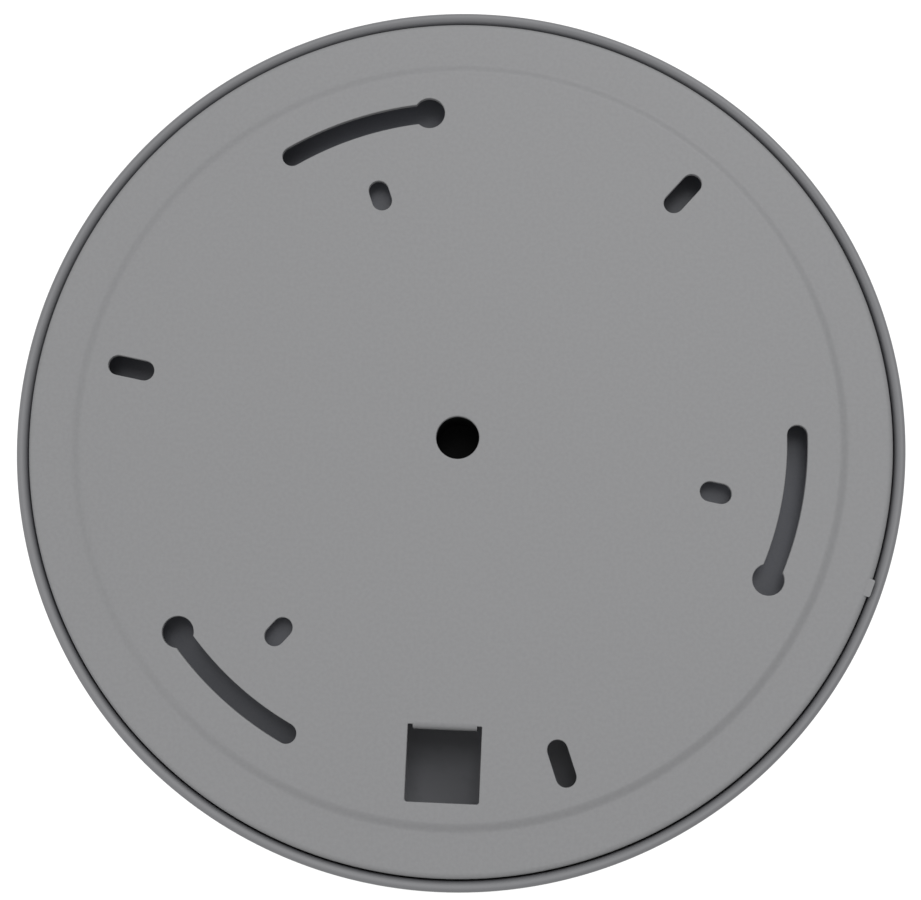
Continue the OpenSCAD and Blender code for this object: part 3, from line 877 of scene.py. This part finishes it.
def buildHousing(look, bay, screws, board):
    tray = look["tray"][1]
    body = lathe("rearHousing", housingSection(look), look["steps"])
    wall, small = look["wall"], 0.05 * mm
    sunk = 0.4 * mm  # how far a joined solid reaches into its neighbour
    added = [prism("bayShell", bayOutline(bay, wall), bay["floor"] - wall, look["channel"] - sunk)]
    starts, sweep, outer, low, high = look["lugs"]
    for start in starts:
        added.append(sectorBlock("lug", start, sweep, look["ring"][1] - sunk, outer, low, high))
    for angle in screwAngles:
        added.append(prism("boss", circle(polar(screws["ring"], angle), look["boss"], 48),
                           look["parting"] - 1 * mm, look["floor"] + sunk))
    for x, y in board["screwsAt"]:
        added.append(prism("post", circle((x * mm, y * mm), board["post"], 48), board["top"],
                           tray - wall + 0.7 * mm))
    combine(body, added, "UNION")
    # the inner end of the bay reaches under the tray
    lifted = prism("bayLift", bayOutline(bay, wall), look["floor"], tray - sunk)
    disc = prism("bayDisc", circle((0, 0), look["tray"][0] - 0.2 * mm, 144), look["floor"] - 5 * mm, 0)
    combine(lifted, [disc], "INTERSECT")
    combine(body, [lifted], "UNION")
    cutters = [prism("bayInside", bayOutline(bay, 0), bay["floor"], 5 * mm)]
    half, low, high = bay["window"]
    through = (bay["inner"] - small, bay["inner"] + wall + small)
    corners = ((-half, low), (half, low), (half, high), (-half, high))
    cutters.append(loft("jackWindow", [[(x, y, z) for x, z in corners] for y in through]))
    x, z, radius = bay["button"]
    cutters.append(rod("buttonHole", [(x, y, z) for y in through], radius, 48))
    hole, headHole = screws["shank"] + screws["play"][0], screws["head"][0] + screws["play"][1]
    holeSection = [(0, -30 * mm), (hole, -30 * mm), (hole, screws["seat"]), (headHole, screws["seat"]),
                   (headHole, 0), (0, 0)]
    for angle in screwAngles:
        cutters.append(lathe("screwHole", holeSection, 48))
        cutters[-1].data.transform(Matrix.Translation((*polar(screws["ring"], angle), 0)))
    pilotRadius, pilotDepth = board["pilot"]
    for x, y in board["screwsAt"]:
        cutters.append(prism("pilot", circle((x * mm, y * mm), pilotRadius, 24), board["top"] - small,
                             board["top"] + pilotDepth))
    cutters.append(ventCutters(look["vents"], tray - wall - small, tray + small))
    return combine(body, cutters, "DIFFERENCE")


finish(buildHousing(housingLook, bayLook, screwLook, boardLook), housingPlastic)


# the rubber buffer in the middle
bufferLook = {
    "bore": (5.4 * mm, -15 * mm),
    "well": (6.6 * mm, -16 * mm),
    "flange": (9.6 * mm, -1.6 * mm, -5.2 * mm),
    "steps": 96,
}


def bufferSection(look):
    (bore, floor), (well, end), (flange, top, under) = look["bore"], look["well"], look["flange"]
    ease = 0.5 * mm
    section = [(0, floor)] + arc((bore - 1 * mm, floor + 1 * mm), 1 * mm, 270, 360, 5)
    section += arc((bore + ease, top - ease), ease, 180, 90, 6)
    section += arc((flange - ease, top - ease), ease, 90, 0, 6)
    return section + [(flange, under), (well, under), (well, end), (0, end)]


centreBuffer = lathe("centreBuffer", bufferSection(bufferLook), bufferLook["steps"])
finish(centreBuffer, blackRubber)


# the front cover
coverLook = {
    "radius": bodyRadius - 0.8 * mm,
    "innerRadius": bodyRadius - 3 * mm,
    "parting": -15 * mm,
    "innerParting": -15.2 * mm,
    "depth": 23 * mm,
    "innerDepth": 21 * mm,
    "radialPower": 6,  # the dome's outline is |r|^a + |h|^b = 1
    "heightPower": 2.5,
    "lip": (1.6 * mm, -13.4 * mm),
    "boss": (4.2 * mm, -34 * mm, -16.2 * mm),
    "pilot": (1.55 * mm, -31 * mm),
    "light": (0, 52 * mm),
    "lightSize": (12 * mm, 3 * mm),
    "rows": 201,  # the limits of the three stretches below fall on rows
    "steps": 257,
}


def domeShell(look):
    # a grid whose rows run over the outer dome, back over the inner one and across the edge between them
    keys = ("radius", "innerRadius", "parting", "innerParting", "depth", "innerDepth", "radialPower", "heightPower")
    tree, inputs, sockets = newTree("domeTree", keys)
    start = Wire(tree)
    grid = start.node("GeometryNodeMeshGrid", {}, {"Size X": 1.0, "Size Y": 1.0, "Vertices X": look["rows"],
                                                  "Vertices Y": look["steps"]}, out="Mesh")
    place = start.node("ShaderNodeSeparateXYZ", {}, {"Vector": start.node("GeometryNodeInputPosition")})
    row = place + 0.5
    turn = (place.sibling("Y") + 0.5) * (2 * math.pi)

    outer, inner, edge = ramp(row, 0, 0.48), ramp(row, 0.97, 0.49), ramp(row, 0.97, 1.0)
    back = row.sum("GREATER_THAN", row, 0.487)

    def dome(share, radius, base, depth):
        flat, rise = cosineSine(share * (math.pi / 2))
        flat = start.sum("MAXIMUM", flat, 0.0)
        return radius * flat ** (2 / inputs["radialPower"]), base - depth * rise ** (2 / inputs["heightPower"])

    r1, z1 = dome(outer, inputs["radius"], inputs["parting"], inputs["depth"])
    r2, z2 = dome(inner, inputs["innerRadius"], inputs["innerParting"], inputs["innerDepth"])
    r2 = r2 + (inputs["radius"] - r2) * edge
    z2 = z2 + (inputs["parting"] - z2) * edge
    r = r1 + (r2 - r1) * back
    z = z1 + (z2 - z1) * back
    cosine, sine = cosineSine(turn)
    spot = start.node("ShaderNodeCombineXYZ", {}, {"X": r * cosine, "Y": r * sine, "Z": z})
    bent = start.node("GeometryNodeSetPosition", {}, {"Geometry": grid, "Position": spot})
    closed = start.node("GeometryNodeMergeByDistance", {}, {"Geometry": bent, "Distance": 0.002 * mm})
    return outward(grow("frontCover", tree, sockets, {key: look[key] for key in keys}, closed, coverPlastic))


def buildCover(look, screws):
    cover = domeShell(look)
    inner, (wide, lipTop), parting = look["innerRadius"], look["lip"], look["parting"]
    lip = [(inner - wide, lipTop), (inner - 0.2 * mm, lipTop), (inner, lipTop - 0.2 * mm), (inner, parting + 0.1 * mm),
           (inner + 0.6 * mm, parting - 0.05 * mm), (inner + 0.6 * mm, parting - 0.6 * mm),
           (inner - 0.4 * mm, parting - 1.2 * mm), (inner - wide, parting - 0.2 * mm)]
    added = [lathe("lip", lip, look["steps"] - 1)]
    radius, low, high = look["boss"]
    pilotRadius, pilotEnd = look["pilot"]
    cutters = []
    for angle in screwAngles:
        at = polar(screws["ring"], angle)
        added.append(prism("boss", circle(at, radius, 48), low, high))
        cutters.append(prism("pilot", circle(at, pilotRadius, 24), pilotEnd, high + 2 * mm))
    combine(cover, added, "UNION")
    long, wide = look["lightSize"]
    window = moved(stadium(long + 0.3 * mm, wide + 0.3 * mm), look["light"])
    cutters.append(prism("window", window, -40 * mm, -32 * mm))
    return combine(cover, cutters, "DIFFERENCE")


finish(buildCover(coverLook, screwLook), coverPlastic)

sealLook = {"radius": bodyRadius - 3.8 * mm, "height": -12.7 * mm, "cord": 0.7 * mm, "steps": 192}
coverSeal = lathe("coverSeal", circle((sealLook["radius"], sealLook["height"]), sealLook["cord"], 24),
                  sealLook["steps"])
finish(coverSeal, blackRubber, degrees=40, weighted=False)

pipeLook = {
    "window": (12 * mm, 3 * mm, -37.65 * mm, -34.5 * mm),
    "flange": (14 * mm, 5 * mm, -34.7 * mm, -33.5 * mm),
    "stem": (4 * mm, 3 * mm, -33.8 * mm, -27 * mm),
    "stemCorner": 0.4 * mm,
    "edge": 0.25 * mm,
}


def buildPipe(look, at):
    # each level of the light pipe is a block with eased edges
    made = []
    for key in ("window", "flange", "stem"):
        long, wide, low, high = look[key]

        def outlineAt(grow):
            size = (long + 2 * grow, wide + 2 * grow)
            return moved(roundedRect(*size, look["stemCorner"]) if key == "stem" else stadium(*size), at)

        made.append(softBlock(key, outlineAt, low, high, look["edge"]))
    return combine(made[0], made[1:], "UNION")


statusLightPipe = buildPipe(pipeLook, coverLook["light"])
statusLightPipe.name = "statusLightPipe"
finish(statusLightPipe, lightPipeClear)


# screws
def screwTemplate(name, look):
    # pan head with a hexagon socket; the thread is cut as close rings
    headRadius, headHeight = look["head"]
    shank, length = look["shank"], look["length"]
    core, crown, chamfer, pitch = shank * 0.84, 0.6 * mm, 0.15 * mm, 0.6 * mm
    section = [(0, headHeight)] + arc((headRadius - crown, headHeight - crown), crown, 90, 0, 6)
    section += [(headRadius, chamfer), (headRadius - chamfer, 0), (core, 0)]
    height = -0.8 * mm
    while height > 1.5 * mm - length:
        section += [(core, height), (shank, height - 0.14 * mm), (shank, height - 0.24 * mm),
                    (core, height - 0.38 * mm)]
        height -= pitch
    section += [(core, 1.2 * mm - length), (shank * 0.3, -length), (0, -length)]
    screw = lathe(name, section, 40)
    socket = prism("socket", circle((0, 0), shank * 0.75, 6), headHeight - 1.2 * mm, headHeight + 1 * mm)
    return combine(screw, [socket], "DIFFERENCE")


def ringRule(index, inputs):
    # every second one stands further on than the even spacing puts it
    odd = index.node("ShaderNodeMath", {"operation": "MODULO"}, {0: index, 1: 2.0})
    angle = (index * inputs["step"] + odd * inputs["extra"] + inputs["start"]) * (math.pi / 180)
    cosine, sine = cosineSine(angle)
    return inputs["ring"] * cosine, inputs["ring"] * sine, inputs["seat"], angle


coverScrews = repeat("coverScrews", screwTemplate("coverScrewTemplate", screwLook), 4, ringRule,
                     {key: screwLook[key] for key in ("ring", "start", "step", "extra", "seat")}, screwSteel)
finish(coverScrews, screwSteel)


def screwsAt(name, look, spots, height, flip):
    # the same screw at listed places
    made = []
    for x, y in spots:
        screw = screwTemplate(name + "One", look)
        if flip:
            screw.data.transform(Matrix.Rotation(math.pi, 4, "X"))
        screw.data.transform(Matrix.Translation((x * mm, y * mm, height)))
        made.append(screw)
    finish(join(name, made), screwSteel)


boardScrewLook = {"head": (2.5 * mm, 1.7 * mm), "shank": 1.25 * mm, "length": 7 * mm}
screwsAt("boardScrews", boardScrewLook, boardLook["screwsAt"], boardLook["top"] - boardLook["thick"], True)
sinkScrewLook = {**boardScrewLook, "length": 5.2 * mm}
screwsAt("heatSinkScrews", sinkScrewLook, boardLook["sinkScrewsAt"], -20.1 * mm, False)


# the heat sink
sinkLook = {
    "at": (-18 * mm, 30 * mm),
    "size": (44 * mm, 36 * mm),
    "base": (-22.1 * mm, -20.1 * mm),
    "top": -10 * mm,
    "fins": 9,
    "finThick": 1.2 * mm,
    "post": (2.6 * mm, -24 * mm),
    "spotFace": 3.4 * mm,
    "bore": (1.3 * mm, -26 * mm),
    "corners": (0.5 * mm, 0.3 * mm),  # of the base and of a fin
    "edge": 0.2 * mm,
}


def buildSink(look, board):
    (x0, y0), (wide, deep), (low, high) = look["at"], look["size"], look["base"]
    thick, (baseCorner, finCorner) = look["finThick"], look["corners"]
    root = low + 1 * mm

    def basePlan(grow):
        return moved(roundedRect(wide + 2 * grow, deep + 2 * grow, baseCorner), look["at"])

    def finPlan(grow):
        return roundedRect(wide + 2 * grow, thick + 2 * grow, finCorner)

    base = softBlock("heatSink", basePlan, low, high, look["edge"])
    fin = softBlock("finTemplate", finPlan, root, look["top"], look["edge"])

    def rule(index, inputs):
        return inputs["x"], inputs["first"] + index * inputs["pitch"], 0.0, 0.0

    pitch = (deep - thick) / (look["fins"] - 1)
    fins = repeat("fins", fin, look["fins"], rule, {"x": x0, "first": y0 - (deep - thick) / 2, "pitch": pitch},
                  heatSinkAluminium)
    posts, bores = [], []
    for x, y in board["sinkScrewsAt"]:
        at = (x * mm, y * mm)
        posts.append(prism("post", circle(at, look["post"][0], 36), look["post"][1], root))
        bores.append(prism("spotFace", circle(at, look["spotFace"], 36), high, 0))
        bores.append(prism("bore", circle(at, look["bore"][0], 24), look["bore"][1], high + 1 * mm))
    combine(base, [fins] + posts, "UNION")
    return combine(base, bores, "DIFFERENCE")


finish(buildSink(sinkLook, boardLook), heatSinkAluminium)


# pieces that keep their outline, with eased edges
def eased(name, width, material, body="access_point", segments=2):
    # a merged copy of the node of that name with its sharp edges rounded
    bm = bmesh.new()
    bm.from_mesh(frame["nodes"][frameName(name)].data)
    bmesh.ops.remove_doubles(bm, verts=bm.verts, dist=0.001 * mm)
    bmesh.ops.dissolve_limit(bm, angle_limit=math.radians(1), verts=bm.verts, edges=bm.edges)
    made = meshObject(name, bm)
    modifier = made.modifiers.new("edges", "BEVEL")
    modifier.width = width
    modifier.segments = segments
    modifier.limit_method = "ANGLE"
    modifier.angle_limit = math.radians(40)
    finish(bake(made), material, body, 30)


easedPieces = (  # material, width of the eased edges in millimetres and the pieces that have them
    (boardLaminate, 0.1, "mainBoard"),
    (labelFoil, 0.03, "ratingLabel"),
    (chipResin, 0.12, "processor"),
    (chipResin, 0.1, "memoryChip1", "memoryChip2"),
    (gapFiller, 0.1, "thermalPad"),
    (tinnedSteel, 0.08, "radioShield1", "radioShield2"),
    (antennaBrass, 0.08, "antennaLow1", "antennaLow2", "antennaLow3", "antennaHigh1", "antennaHigh2", "antennaHigh3"),
    (ceramic, 0.12, "bluetoothAntenna"),
    (tinnedSteel, 0.06, "jackShell"),
    (blackPlastic, 0.15, "jackInsert"),
    (contactGold, 0.05, "jackContacts"),
    (chipResin, 0.3, "lanTransformer"),
    (transformerCore, 0.25, "powerTransformer"),
    (capacitorCan, 0.25, "powerCapacitor1", "powerCapacitor2"),
    (ledBody, 0.1, "statusLed"),
    (blackPlastic, 0.12, "resetSwitch"),
)
for material, width, *names in easedPieces:
    for name in names:
        eased(name, width * mm, material)
eased("resetButton", 0.3 * mm, blackPlastic, "reset_key", 3)
eased("resetPlunger", 0.1 * mm, switchPlunger, "reset_key")


# stage, light and camera
stageLook = {
    "floorDrop": 0.7,
    "floorSize": 12.0,
    "worldStrength": 0.87,
    "lights": {
        "keyLight": {"at": (0.5, 1.3, 1.7), "size": 1.6, "power": 20},
        "topLight": {"at": (0.1, 0.92, 4.0), "size": 1.1, "power": 22},
        "fillLight": {"at": (-1.5, -0.6, 1.2), "size": 1.6, "power": 9},
    },
}


def softLight(name, look, aim):
    lamp = bpy.data.lights.new(name, "AREA")
    lamp.shape = "SQUARE"
    lamp.size = look["size"]
    lamp.energy = look["power"]
    made = newObject(name, lamp)
    made.location = look["at"]
    made.rotation_mode = "QUATERNION"
    made.rotation_quaternion = (Vector(aim) - Vector(look["at"])).to_track_quat("-Z", "Y")


def buildStage(look):
    half = look["floorSize"] / 2
    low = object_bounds()[0].z - look["floorDrop"]
    floor = prism("floor", [(-half, -half), (half, -half), (half, half), (-half, half)], low - 0.02, low)
    material, shader, where = newMaterial("paleFloor", 0.9)
    where.feed(shader.inputs["Base Color"], mixed(where, noise(where, 0.8), (0.88, 0.88, 0.88), (0.9, 0.9, 0.9)))
    wear(floor, material)
    floor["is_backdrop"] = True
    world = bpy.data.worlds.new("softStudio")
    bpy.context.scene.world = world
    world.use_nodes = True
    sky = world.node_tree.nodes["Background"]
    sky.inputs["Color"].default_value = (1, 1, 1, 1)
    sky.inputs["Strength"].default_value = look["worldStrength"]
    for name, light in look["lights"].items():
        softLight(name, light, (0, 0, 0))
    bpy.context.scene.view_settings.view_transform = "Standard"


cameraLook = {
    "at": (19.8 * mm, -73.8 * mm, 464.2 * mm),
    "aim": (0.77 * mm, -2.83 * mm, 0),
    "roll": 2.5,
    "lens": 81.73,
}


def buildCamera(look):
    camera = bpy.data.cameras.new("camera")
    camera.lens = look["lens"]
    camera.sensor_width = 36
    made = newObject("camera", camera)
    back = (Vector(look["at"]) - Vector(look["aim"])).normalized()
    hint = Vector((-math.sin(math.radians(look["roll"])), math.cos(math.radians(look["roll"])), 0))
    right = hint.cross(back).normalized()
    up = back.cross(right)
    made.matrix_world = Matrix.Translation(look["at"]) @ Matrix((right, up, back)).transposed().to_4x4()
    bpy.context.scene.camera = made


buildStage(stageLook)
buildCamera(cameraLook)
print("stage and camera made")
